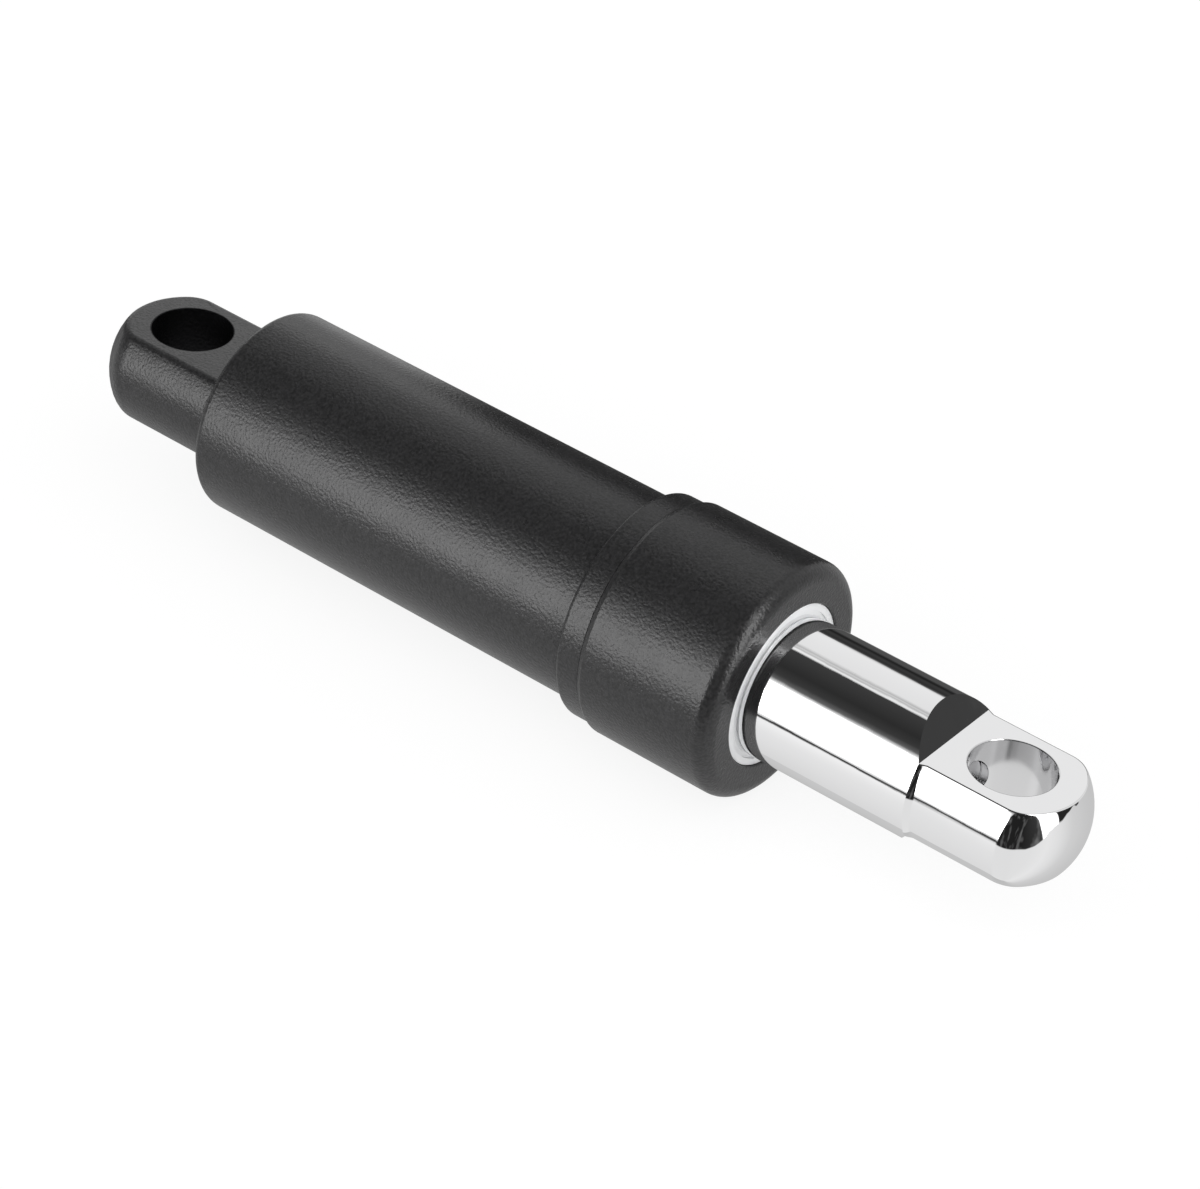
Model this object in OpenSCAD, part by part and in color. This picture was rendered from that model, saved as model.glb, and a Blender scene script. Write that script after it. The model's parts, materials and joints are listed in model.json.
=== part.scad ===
// Compact gas and oil shock absorber with a bored eye at each end.
// The origin is the centre of the base eye's bore. +X runs along the shock to the
// rod eye, and +Z runs along both eye bores. The rod is drawn fully extended.

/* [Whole shock] */
// Distance between the two eye bores with the rod fully extended
eye_to_eye = 125; // [121:1:145]
// Travel of the rod from fully extended to the bump stop
stroke = 18; // [12:1:21]
// Diameter of both eye bores
pin_bore_d = 10.4; // [8:0.1:11]
// Diameter of the chromed rod, which sets the diameters around it
rod_d = 18; // [16:0.1:22]
// Length of plain rod left outside the collar with the rod fully in
rod_spare = 2.6; // [1:0.1:5]

/* [Base eye] */
// Wall of the base eye beside its bore
base_eye_wall = 4; // [3:0.1:4.4]
// Wall of the base eye at the tip of its ball nose
base_nose_wall = 5.1; // [4:0.1:6]
// Thickness of the base eye between its flats
base_eye_t = 12; // [10:0.1:14]
// Length of solid eye between the base eye's bore and the barrel
base_root_len = 7.5; // [6:0.1:12]
// Length of the threaded plug that the base eye screws into the barrel
plug_len = 9.3; // [8.6:0.1:12]
// Distance from the plug's inner end back to its O-ring
plug_oring_back = 3.3; // [2.7:0.1:6.3]

/* [Barrel] */
// Wall of the barrel
barrel_wall = 2.5; // [2.2:0.1:4]
// Rounding of the barrel's outer edge at the base end
barrel_edge_r = 1.2; // [0.5:0.1:2]
// Rounding of the barrel's outer edge under the collar
barrel_inner_edge_r = 0.4; // [0.2:0.1:0.8]

/* [Lock ring and collar] */
// Wall of the lock ring
lock_ring_wall = 1.25; // [0.9:0.05:1.5]
// Width of the lock ring
lock_ring_w = 3.2; // [2.5:0.1:5]
// Rounding of the lock ring's outer edge towards the base
lock_ring_edge_r = 0.6; // [0.2:0.1:0.8]
// Rounding of the lock ring's and the collar's outer edges at the gap between them
gap_edge_r = 0.3; // [0.1:0.05:0.5]
// Gap between the lock ring and the collar
lock_gap = 0.5; // [0.3:0.1:1]
// Wall of the collar
collar_wall = 1.75; // [1.5:0.05:2.5]
// Length of the collar that is screwed over the barrel
collar_overlap = 8.3; // [6:0.1:12]
// Thickness of the collar's front wall
collar_front = 3.5; // [2.6:0.1:4.5]
// Rounding of the collar's front edge
collar_nose_r = 2.1; // [1:0.1:2.5]

/* [Rod guide and seals] */
// Length of the rod guide's spigot inside the barrel
guide_spigot_len = 8.4; // [7:0.1:12]
// Wall of the rod guide's spigot around the guide bush
guide_wall = 0.9; // [0.6:0.05:1.5]
// Wall of the guide bush
bush_wall = 0.97; // [0.7:0.01:1.5]
// Distance from the rod guide's inner end to the guide bush
bush_inset = 1.2; // [0.5:0.1:3]
// Thickness of the web between the guide bush and the rod seal
guide_web_t = 1.2; // [0.8:0.1:2]
// Width of the rod seal, its back-up ring and the dust wiper's flange
seal_w = 2.52; // [2:0.01:2.7]
// Height of the rod seal
seal_h = 2.8; // [2:0.1:4]
// Thickness of the lips of the rod seal
seal_lip_t = 0.84; // [0.5:0.01:1]
// Thickness of the back-up ring beside the rod seal
backup_t = 0.6; // [0.4:0.1:1]
// Thickness of the dust wiper's flange
wiper_flange_t = 1.2; // [0.8:0.1:2]
// Width of the dust wiper where it shows in the collar
wiper_w = 1.42; // [1:0.01:1.8]
// Depth of the dust wiper's face below the collar's face
wiper_recess = 0.25; // [0:0.05:0.5]
// Section diameter of the O-ring between the rod guide and the barrel
gland_oring_t = 1.2; // [0.8:0.1:1.4]

/* [Rod] */
// Wall of the hollow rod
rod_wall = 2; // [1.6:0.1:2.6]
// Length of the solid end of the rod that carries the rod eye
rod_end_len = 8.5; // [8:0.1:12]
// Thickness of the web between the rod's bore and the rod eye's spigot
rod_web_t = 1; // [0.8:0.1:1.5]
// Diameter of the gas passage through the web
rod_gas_hole_d = 3; // [2:0.1:4]
// Length of the bevels milled on the rod's end above and below the rod eye
rod_bevel_len = 2.5; // [1.5:0.1:3.5]
// Chamfer of the rod's edge at the piston end
rod_chamfer = 0.5; // [0.2:0.1:0.8]

/* [Rod eye] */
// Step from the rod's radius down to the rod eye's
neck_step = 0.35; // [0.2:0.05:1]
// Length of the cone between the two radii
neck_cone_len = 0.9; // [0.5:0.1:1.5]
// Thickness of the rod eye between its flats
rod_eye_t = 10.4; // [9.6:0.1:12]
// Wall of the rod eye at the tip of its ball nose
rod_nose_wall = 4.8; // [4:0.1:6]
// Length of solid eye between the rod eye's bore and the rod
rod_root_len = 2.8; // [2.4:0.1:5]
// Metal of the rod left over the rod eye's spigot where the bevels end
spigot_cover = 0.65; // [0.4:0.05:1]
// Distance from the end of the rod to the spigot's O-ring
spigot_oring_x = 5.2; // [4.5:0.1:5.6]
// Diameter of the gas passage through the rod eye
eye_gas_hole_d = 2.5; // [1.5:0.1:3]

/* [Fill screw] */
// Wall of the rod eye's spigot around the fill screw
fill_wall = 1.5; // [1:0.1:2]
// Length of the fill screw
fill_screw_len = 3.8; // [2.6:0.1:4.2]
// Depth of the fill screw's face below the bore's wall
fill_screw_recess = 0.5; // [0.3:0.1:1]
// Width across the flats of the fill screw's socket
fill_socket_af = 2.5; // [2:0.1:3]
// Depth of the fill screw's socket
fill_socket_depth = 1.8; // [1:0.1:2.2]
// Thickness of the sealing washer under the fill screw
fill_seal_t = 0.8; // [0.5:0.1:1.2]

/* [Piston] */
// Length of the piston's head
piston_len = 7; // [6.4:0.1:9]
// Width of the wear band
band_w = 4; // [3:0.1:5]
// Thickness of the wear band
band_t = 1.6; // [1.2:0.1:1.8]
// Cut across the wear band
band_split = 0.8; // [0.4:0.1:1.5]
// Length of the piston's neck, which has the cross holes
piston_neck_len = 4; // [3.4:0.1:6]
// Length of the piston's spigot inside the rod
piston_spigot_len = 5; // [4:0.1:7]
// Wall of the piston's spigot
piston_wall = 1.95; // [1.6:0.05:2.2]
// Thickness of the piston's wall that the oil ports go through
piston_face_t = 4.2; // [3.5:0.1:5]
// Number of oil ports through the piston's wall
port_count = 6; // [4:1:8]
// Diameter of the oil ports
port_d = 1.8; // [1.2:0.1:2]
// Metal left on each side of an oil port
port_wall = 0.35; // [0.2:0.05:0.6]
// Number of cross holes in the piston's neck
cross_hole_count = 4; // [3:1:6]
// Diameter of the cross holes in the piston's neck
cross_hole_d = 2.2; // [1.5:0.1:2.8]

/* [Valve] */
// Number of shims over the oil ports
shim_count = 3; // [2:1:4]
// Thickness of one shim
shim_t = 0.35; // [0.2:0.05:0.5]
// Lap of the largest shim past the oil ports
shim_lap = 0.85; // [0.4:0.05:1.4]
// Step in radius from one shim to the next
shim_step = 0.6; // [0.2:0.05:0.7]
// Step from the piston bolt's shank out to the flats of its head
bolt_head_step = 1; // [0.7:0.1:1.3]
// Height of the piston bolt's head
bolt_head_h = 3.2; // [2.5:0.1:4]
// Length of the piston bolt under its head
bolt_len = 6.2; // [5.4:0.1:8]
// Orifice through the piston bolt
orifice_d = 1.5; // [0.8:0.1:2]

/* [Stops and separator] */
// Wall of the bump stop
bump_stop_wall = 3.5; // [2.5:0.1:4]
// Height of the bump stop above the base plug
bump_stop_h = 2.7; // [2:0.1:4]
// Rim of the base plug around the bump stop's seat
bump_seat_rim = 1.4; // [1:0.1:2]
// Depth of the bump stop's seat in the base plug
bump_seat_depth = 1; // [0.5:0.1:1.2]
// Length of the top-out bumper
bumper_len = 4; // [3:0.1:6]
// Wall of the top-out bumper and of the spacer sleeve
sleeve_wall = 1.35; // [1:0.05:1.6]
// Number of oil slots at the spacer sleeve's end
slot_count = 4; // [3:1:6]
// Width of the oil slots
slot_w = 4; // [3:0.1:5]
// Length of the oil slots past the piston's cross holes
slot_margin = 0.7; // [0.3:0.1:1.5]
// Length of the separator piston
separator_len = 7; // [6:0.1:8]
// Depth of the recess in each end of the separator piston
separator_recess = 2; // [1:0.1:2.4]
// Wall of the separator piston around its recesses
separator_wall = 2.4; // [1.8:0.1:3]

/* [Fits] */
// Radial gap of threads, plugs and pressed pieces
fit_gap = 0.05; // [0.02:0.01:0.1]
// Radial running gap of the rod in its bush, the wear band and the separator piston
run_gap = 0.03; // [0.02:0.01:0.08]
// Radial gap between the rod and its seals
seal_gap = 0.08; // [0.04:0.01:0.1]
// Gap between pieces that pass each other or meet at the end of the travel
free_gap = 0.3; // [0.2:0.05:0.5]
// Section diameter of the small O-rings
oring_t = 1.2; // [1:0.1:1.4]

/* [Hidden] */
$fn = 96;
// How far a cutting tool runs past the face it cuts
past = 1;

// Diameters from the rod outwards
rod_clear_d = rod_d + 2 * free_gap;
rod_seal_bore_d = rod_d + 2 * seal_gap;
sleeve_bore_d = rod_d + 2 * fit_gap;
sleeve_d = sleeve_bore_d + 2 * sleeve_wall;
bush_bore_d = rod_d + 2 * run_gap;
bush_d = bush_bore_d + 2 * bush_wall;
plug_d = bush_d + 2 * fit_gap + 2 * guide_wall;
barrel_bore_d = plug_d + 2 * fit_gap;
barrel_d = barrel_bore_d + 2 * barrel_wall;
collar_bore_d = barrel_d + 2 * fit_gap;
lock_ring_d = collar_bore_d + 2 * lock_ring_wall;
collar_d = collar_bore_d + 2 * collar_wall;
seal_d = rod_seal_bore_d + 2 * seal_w;
wiper_d = rod_seal_bore_d + 2 * wiper_w;
gland_oring_d = (barrel_d + barrel_bore_d) / 2 + gland_oring_t;

// Diameters from the rod inwards
rod_bore_d = rod_d - 2 * rod_wall;
rod_eye_d = rod_d - 2 * neck_step;
spigot_hole_d = rod_eye_t - 2 * spigot_cover;
spigot_d = spigot_hole_d - 2 * fit_gap;
fill_hole_d = spigot_d - 2 * fill_wall;
fill_screw_d = fill_hole_d - 2 * fit_gap;
separator_d = rod_bore_d - 2 * run_gap;

// Base eye and the rod eye's nose
base_eye_d = pin_bore_d + 2 * base_eye_wall;
base_nose_r = pin_bore_d / 2 + base_nose_wall;
rod_nose_r = pin_bore_d / 2 + rod_nose_wall;

// Rod guide's flange, from the barrel's end to the collar's front wall
flange_len = gland_oring_t + guide_web_t + seal_h + backup_t + wiper_flange_t;

// Barrel, collar and lock ring along X, measured back from the end of the rod
rod_x1 = eye_to_eye - pin_bore_d / 2 - rod_root_len;
collar_x1 = rod_x1 - rod_bevel_len - stroke - rod_spare;
guide_x1 = collar_x1 - collar_front;
barrel_x0 = pin_bore_d / 2 + base_root_len;
barrel_x1 = guide_x1 - flange_len;
collar_x0 = barrel_x1 - collar_overlap;
lock_ring_x1 = collar_x0 - lock_gap;
lock_ring_x0 = lock_ring_x1 - lock_ring_w;

// Rod guide and its seals
guide_x0 = barrel_x1 - guide_spigot_len;
gland_groove_x1 = barrel_x1 + gland_oring_t;
seal_x0 = gland_groove_x1 + guide_web_t;
backup_x0 = seal_x0 + seal_h;
wiper_x0 = backup_x0 + backup_t;

// Base plug, bump stop and the piston's place at full extension
plug_x1 = barrel_x0 + plug_len;
plug_oring_x = plug_x1 - plug_oring_back;
bump_seat_x = plug_x1 - bump_seat_depth;
bump_seat_d = plug_d - 2 * bump_seat_rim;
bump_stop_d = bump_seat_d - 2 * fit_gap;
bump_stop_x1 = plug_x1 + bump_stop_h;
piston_x0 = bump_stop_x1 + free_gap + stroke;
piston_x1 = piston_x0 + piston_len;
cross_hole_x = piston_x1 + piston_neck_len / 2;
neck_x1 = piston_x1 + piston_neck_len;
piston_spigot_x1 = neck_x1 + piston_spigot_len;

// Piston
piston_d = barrel_bore_d - 2 * free_gap;
piston_neck_d = rod_d - 2 * fit_gap;
piston_spigot_d = rod_bore_d - 2 * fit_gap;
piston_bore_d = piston_spigot_d - 2 * piston_wall;
piston_oring_t = piston_wall / 2;
piston_oring_x = (neck_x1 + piston_spigot_x1) / 2;
bolt_d = piston_bore_d - 2 * port_d - 4 * port_wall;
port_circle_d = bolt_d + 2 * port_wall + port_d;
band_d = barrel_bore_d - 2 * run_gap;
band_bore_d = band_d - 2 * band_t;
band_groove_d = band_bore_d - 2 * fit_gap;
band_x0 = piston_x0 + (piston_len - band_w) / 2;

// Valve on the piston's face
shim_d = port_circle_d + port_d + 2 * shim_lap;
shims_x0 = piston_x0 - shim_count * shim_t;
bolt_x0 = shims_x0 - bolt_head_h;
bolt_head_d = (bolt_d + 2 * bolt_head_step) / cos(30);
bolt_recess_x = bolt_x0 - stroke - free_gap;

// Rod and the rod eye's spigot
rod_x0 = neck_x1;
rod_bore_x1 = rod_x1 - rod_end_len;
spigot_hole_x0 = rod_bore_x1 + rod_web_t;
spigot_x0 = spigot_hole_x0 + fit_gap;
spigot_oring_mid = rod_x1 - spigot_oring_x;

// Fill screw in the wall of the rod eye's bore
fill_face_x = eye_to_eye - pin_bore_d / 2 - fill_screw_recess;
fill_screw_x0 = fill_face_x - fill_screw_len;
fill_seal_x0 = fill_screw_x0 - fill_seal_t;

// Stops on the rod
bumper_x1 = guide_x0 - free_gap;
bumper_x0 = bumper_x1 - bumper_len;
slot_x1 = cross_hole_x + cross_hole_d / 2 + slot_margin;

// Separator piston, which rests a free gap past the end of the piston's spigot
separator_x0 = piston_spigot_x1 + free_gap;
separator_x1 = separator_x0 + separator_len;
separator_mid = (separator_x0 + separator_x1) / 2;

// Colours as they show
satin_black = "#2c2c2e";
chrome = "#d9dadd";
bare_steel = "#9b9da1";
white_plastic = "#e9ebec";
bronze = "#a8834a";
rubber_black = "#1b1b1c";
grey_alloy = "#b4b7ba";

// A round bar along X from x0 to x1
module bar(x0, x1, d) {
  translate([x0, 0, 0])
    rotate([0, 90, 0])
      cylinder(h = x1 - x0, d = d);
}

// A ring along X from x0 to x1
module ring(x0, x1, outer_d, inner_d) {
  difference() {
    bar(x0, x1, outer_d);
    bar(x0 - past, x1 + past, inner_d);
  }
}

// An O-ring about X: its middle, its outer diameter and its section diameter
module o_ring(x, outer_d, section_d) {
  translate([x, 0, 0])
    rotate([0, 90, 0])
      rotate_extrude()
        translate([(outer_d - section_d) / 2, 0])
          circle(d = section_d, $fn = 32);
}

// The tool for an O-ring's groove in a round bar, as deep as the ring's section
module o_ring_groove(x, outer_d, section_d) {
  ring(x - section_d / 2, x + section_d / 2, outer_d + past, outer_d - 2 * section_d);
}

// A round bar along X whose two outer edges are rounded by r0 and r1
module rounded_bar(x0, x1, d, r0, r1) {
  len = x1 - x0;
  translate([x0, 0, 0])
    rotate([0, 90, 0])
      rotate_extrude()
        union() {
          square([d / 2 - r0, len / 2]);
          translate([0, len / 2])
            square([d / 2 - r1, len / 2]);
          translate([0, r0])
            square([d / 2, len - r0 - r1]);
          translate([d / 2 - r0, r0])
            circle(r = r0);
          translate([d / 2 - r1, len - r1])
            circle(r = r1);
        }
}

// An eye about the origin: a turned blank with its ball nose towards -X, cut to its two flats.
// The blank widens to root_d over its last flare_len, which ends at x = root.
module eye_blank(d, t, nose_r, root, root_d, flare_len) {
  intersection() {
    rotate([0, 90, 0])
      rotate_extrude()
        intersection() {
          polygon([
            [0, -nose_r],
            [d / 2, -nose_r],
            [d / 2, root - flare_len],
            [root_d / 2, root],
            [0, root]
          ]);
          union() {
            circle(r = nose_r);
            square([root_d, root]);
          }
        }
    translate([-nose_r - past, -root_d, -t / 2])
      cube([nose_r + root + 2 * past, 2 * root_d, t]);
  }
}

// The bore of an eye, along Z
module pin_bore(x, t) {
  translate([x, 0, -t / 2 - past])
    cylinder(h = t + 2 * past, d = pin_bore_d);
}

module barrel() {
  color(satin_black)
    difference() {
      rounded_bar(barrel_x0, barrel_x1, barrel_d, barrel_edge_r, barrel_inner_edge_r);
      bar(barrel_x0 - past, barrel_x1 + past, barrel_bore_d);
    }
}

module base_eye() {
  color(satin_black)
    difference() {
      union() {
        eye_blank(base_eye_d, base_eye_t, base_nose_r, barrel_x0 + past, base_eye_d, past);
        bar(barrel_x0, plug_x1, plug_d);
      }
      pin_bore(0, base_eye_t);
      o_ring_groove(plug_oring_x, plug_d, oring_t);
      bar(bump_seat_x, plug_x1 + past, bump_seat_d);
      bar(bolt_recess_x, plug_x1 + past, bolt_head_d + 2 * free_gap);
    }
}

module base_oring() {
  color(rubber_black)
    o_ring(plug_oring_x, plug_d, oring_t);
}

module bump_stop() {
  color(rubber_black)
    ring(bump_seat_x, bump_stop_x1, bump_stop_d, bump_stop_d - 2 * bump_stop_wall);
}

module lock_ring() {
  color(satin_black)
    difference() {
      rounded_bar(lock_ring_x0, lock_ring_x1, lock_ring_d, lock_ring_edge_r, gap_edge_r);
      bar(lock_ring_x0 - past, lock_ring_x1 + past, collar_bore_d);
    }
}

module collar() {
  color(satin_black)
    difference() {
      rounded_bar(collar_x0, collar_x1, collar_d, gap_edge_r, collar_nose_r);
      bar(collar_x0 - past, guide_x1, collar_bore_d);
      bar(collar_x0, collar_x1 + past, wiper_d + 2 * fit_gap);
    }
}

module rod_guide() {
  color(grey_alloy)
    difference() {
      union() {
        bar(guide_x0, barrel_x1 + past, plug_d);
        bar(barrel_x1, guide_x1, barrel_d);
      }
      bar(guide_x0 - past, guide_x1 + past, rod_clear_d);
      bar(guide_x0 - past, gland_groove_x1, bush_d + 2 * fit_gap);
      bar(seal_x0, guide_x1 + past, seal_d + 2 * fit_gap);
      ring(barrel_x1 - past, gland_groove_x1, gland_oring_d, gland_oring_d - 2 * gland_oring_t);
    }
}

module guide_bush() {
  color(bronze)
    ring(guide_x0 + bush_inset, gland_groove_x1, bush_d, bush_bore_d);
}

module gland_oring() {
  color(rubber_black)
    o_ring(barrel_x1 + gland_oring_t / 2, gland_oring_d, gland_oring_t);
}

// A cup with a lip on the rod and a lip on its housing, open towards the oil
module rod_seal() {
  color(rubber_black)
    difference() {
      ring(seal_x0, backup_x0, seal_d, rod_seal_bore_d);
      ring(seal_x0 - past, seal_x0 + seal_h / 2, seal_d - 2 * seal_lip_t, rod_seal_bore_d + 2 * seal_lip_t);
    }
}

module backup_ring() {
  color(white_plastic)
    ring(backup_x0, wiper_x0, seal_d, rod_seal_bore_d);
}

module dust_wiper() {
  color(white_plastic)
    difference() {
      union() {
        bar(wiper_x0, guide_x1, seal_d);
        bar(wiper_x0, collar_x1 - wiper_recess, wiper_d);
      }
      bar(wiper_x0 - past, collar_x1 + past, rod_seal_bore_d);
    }
}

// The wedge above the rod eye's flat that is milled off the rod's end
module rod_bevel_tool() {
  flat_z = rod_eye_t / 2;
  rise = rod_d / 2 - flat_z;
  rotate([90, 0, 0])
    linear_extrude(height = rod_d, center = true)
      polygon([
        [rod_x1, flat_z],
        [rod_x1 - 2 * rod_bevel_len, flat_z + 2 * rise],
        [rod_x1 + past, flat_z + 2 * rise],
        [rod_x1 + past, flat_z]
      ]);
}

module rod() {
  color(chrome)
    difference() {
      union() {
        bar(rod_x0 + rod_chamfer, rod_x1, rod_d);
        translate([rod_x0, 0, 0])
          rotate([0, 90, 0])
            cylinder(h = rod_chamfer, d1 = rod_d - 2 * rod_chamfer, d2 = rod_d);
      }
      bar(rod_x0 - past, rod_bore_x1, rod_bore_d);
      bar(rod_bore_x1 - past, spigot_hole_x0 + past, rod_gas_hole_d);
      bar(spigot_hole_x0, rod_x1 + past, spigot_hole_d);
      rod_bevel_tool();
      mirror([0, 0, 1])
        rod_bevel_tool();
    }
}

module rod_eye() {
  color(chrome)
    difference() {
      union() {
        translate([eye_to_eye, 0, 0])
          rotate([0, 0, 180])
            eye_blank(rod_eye_d, rod_eye_t, rod_nose_r, eye_to_eye - rod_x1, rod_d, neck_cone_len);
        bar(spigot_x0, rod_x1 + past, spigot_d);
      }
      pin_bore(eye_to_eye, rod_eye_t);
      o_ring_groove(spigot_oring_mid, spigot_d, oring_t);
      bar(spigot_x0 - past, eye_to_eye, eye_gas_hole_d);
      bar(fill_seal_x0, eye_to_eye, fill_hole_d);
    }
}

module eye_oring() {
  color(rubber_black)
    o_ring(spigot_oring_mid, spigot_d, oring_t);
}

module fill_screw() {
  color(bare_steel)
    difference() {
      bar(fill_screw_x0, fill_face_x, fill_screw_d);
      translate([fill_face_x - fill_socket_depth, 0, 0])
        rotate([0, 90, 0])
          cylinder(h = fill_socket_depth + past, d = fill_socket_af / cos(30), $fn = 6);
    }
}

module fill_seal() {
  color(bronze)
    ring(fill_seal_x0, fill_screw_x0, fill_screw_d, eye_gas_hole_d);
}

module piston() {
  color(grey_alloy)
    difference() {
      union() {
        bar(piston_x0, piston_x1, piston_d);
        bar(piston_x0, neck_x1, piston_neck_d);
        bar(piston_x0, piston_spigot_x1, piston_spigot_d);
      }
      ring(band_x0 - fit_gap, band_x0 + band_w + fit_gap, piston_d + past, band_groove_d);
      bar(piston_x0 - past, piston_spigot_x1, bolt_d);
      bar(piston_x0 + piston_face_t, piston_spigot_x1 + past, piston_bore_d);
      for (i = [0 : port_count - 1])
        rotate([i * 360 / port_count, 0, 0])
          translate([0, port_circle_d / 2, 0])
            bar(piston_x0 - past, piston_x0 + piston_face_t + past, port_d);
      for (i = [0 : cross_hole_count - 1])
        rotate([i * 360 / cross_hole_count, 0, 0])
          translate([cross_hole_x, 0, 0])
            cylinder(h = rod_d, d = cross_hole_d);
      o_ring_groove(piston_oring_x, piston_spigot_d, piston_oring_t);
    }
}

module piston_oring() {
  color(rubber_black)
    o_ring(piston_oring_x, piston_spigot_d, piston_oring_t);
}

module piston_shims() {
  color(bare_steel)
    for (i = [0 : shim_count - 1])
      ring(piston_x0 - (i + 1) * shim_t, piston_x0 - i * shim_t,
           shim_d - 2 * i * shim_step, bolt_d);
}

module piston_bolt() {
  color(bare_steel)
    difference() {
      union() {
        translate([bolt_x0, 0, 0])
          rotate([0, 90, 0])
            cylinder(h = bolt_head_h, d = bolt_head_d, $fn = 6);
        bar(bolt_x0, shims_x0 + bolt_len, bolt_d - 2 * fit_gap);
      }
      bar(bolt_x0 - past, shims_x0 + bolt_len + past, orifice_d);
    }
}

// The sleeve that sets the rod's length out of the barrel, slotted where oil leaves the piston
module spacer_sleeve() {
  color(grey_alloy)
    difference() {
      ring(piston_x1, bumper_x0, sleeve_d, sleeve_bore_d);
      for (i = [0 : slot_count - 1])
        rotate([i * 360 / slot_count, 0, 0])
          translate([piston_x1 - past, -slot_w / 2, 0])
            cube([slot_x1 - piston_x1 + past, slot_w, sleeve_d]);
    }
}

module topout_bumper() {
  color(rubber_black)
    ring(bumper_x0, bumper_x1, sleeve_d, sleeve_bore_d);
}

module piston_band() {
  color(bronze)
    difference() {
      ring(band_x0, band_x0 + band_w, band_d, band_bore_d);
      translate([band_x0 - past, -band_split / 2, 0])
        cube([band_w + 2 * past, band_split, barrel_bore_d]);
    }
}

module separator_piston() {
  recess_d = separator_d - 2 * separator_wall;
  color(grey_alloy)
    difference() {
      bar(separator_x0, separator_x1, separator_d);
      bar(separator_x0 - past, separator_x0 + separator_recess, recess_d);
      bar(separator_x1 - separator_recess, separator_x1 + past, recess_d);
      o_ring_groove(separator_mid, separator_d, oring_t);
    }
}

module separator_oring() {
  color(rubber_black)
    o_ring(separator_mid, separator_d, oring_t);
}

barrel();
base_eye();
base_oring();
bump_stop();
lock_ring();
collar();
rod_guide();
guide_bush();
gland_oring();
rod_seal();
backup_ring();
dust_wiper();
rod();
rod_eye();
eye_oring();
fill_screw();
fill_seal();
piston();
piston_oring();
piston_shims();
piston_bolt();
spacer_sleeve();
topout_bumper();
piston_band();
separator_piston();
separator_oring();
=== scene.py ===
# Looks for the compact gas and oil shock absorber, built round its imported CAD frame.
# The base eye's bore is at the origin, +X runs to the rod eye, and +Z runs along both eyes' bores.
# Lengths below are in millimetres and are turned into metres by MM, apart from those of the finishes.
import json
import math
import bmesh
import bpy
from mathutils import Matrix, Vector

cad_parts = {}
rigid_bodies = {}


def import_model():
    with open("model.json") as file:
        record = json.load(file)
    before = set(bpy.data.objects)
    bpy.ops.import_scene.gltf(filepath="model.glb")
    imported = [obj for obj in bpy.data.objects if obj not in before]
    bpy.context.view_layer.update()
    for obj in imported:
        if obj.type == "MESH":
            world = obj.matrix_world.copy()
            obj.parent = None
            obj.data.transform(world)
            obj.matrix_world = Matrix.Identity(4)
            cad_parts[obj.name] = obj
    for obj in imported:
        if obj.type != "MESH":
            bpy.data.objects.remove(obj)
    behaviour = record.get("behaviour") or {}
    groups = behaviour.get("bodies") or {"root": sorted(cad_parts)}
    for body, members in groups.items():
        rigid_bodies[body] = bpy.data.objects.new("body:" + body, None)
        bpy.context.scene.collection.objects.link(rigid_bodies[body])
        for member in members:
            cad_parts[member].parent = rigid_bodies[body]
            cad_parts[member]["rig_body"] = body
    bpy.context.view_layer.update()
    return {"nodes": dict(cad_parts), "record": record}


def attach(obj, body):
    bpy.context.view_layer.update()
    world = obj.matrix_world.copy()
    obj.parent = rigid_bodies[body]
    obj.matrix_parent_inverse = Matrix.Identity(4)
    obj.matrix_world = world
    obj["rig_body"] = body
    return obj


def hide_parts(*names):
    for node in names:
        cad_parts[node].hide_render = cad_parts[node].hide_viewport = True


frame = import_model()

MM = 0.001
SAME = 0.001      # two heights or places this near each other are the same
OVERRUN = 1.0     # how far a tool goes past what it cuts, and a joined piece into its neighbour
EYE_TO_EYE = 125.0

# An eye has a round side and a ball nose, with a bend between them, and is cut flat to its thickness. On the
# base eye rim_r rounds the bore's rims, and edge_r the flats' outline as far as edge_reach inside the barrel.
# On the rod eye edge_r rounds both, apart from edges within root_slack of its root.
BASE = dict(side_r=9.2, nose_r=10.3, bend_r=4.0, thick=12.0, bore_r=5.2, rim_r=0.2, edge_r=0.85,
            edge_reach=1.5, plug_r=10.95, plug_x1=22.0, plug_edge_r=0.3, groove_x=18.7, groove_half=0.6,
            groove_r=9.75, seat_x=21.0, seat_r=9.55, recess_x=20.45, recess_r=4.342)
EYE = dict(side_r=8.65, nose_r=10.0, bend_r=3.8, thick=10.4, bore_r=5.2, edge_r=0.15, cone=0.9,
           root_slack=0.1, spigot_x=109.55, spigot_r=4.5, groove_x=111.8, groove_half=0.6, groove_r=3.3,
           gas_r=1.25, fill_r=3.0, fill_x=114.7)

# Camera: the one that was fitted to the photograph, with its side, height and roll in radians
CAMERA_AZIMUTH = 0.582896
CAMERA_ELEVATION = 0.601423
CAMERA_ROLL = 0.133138
CAMERA_DISTANCE = 468.855
CAMERA_TARGET_X = 56.239
CAMERA_OFFSET = (-8.168, 5.159)
CAMERA_LENS = 116.022
CAMERA_SENSOR = 36
CAMERA_CLIP_M = (0.01, 20)


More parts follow.
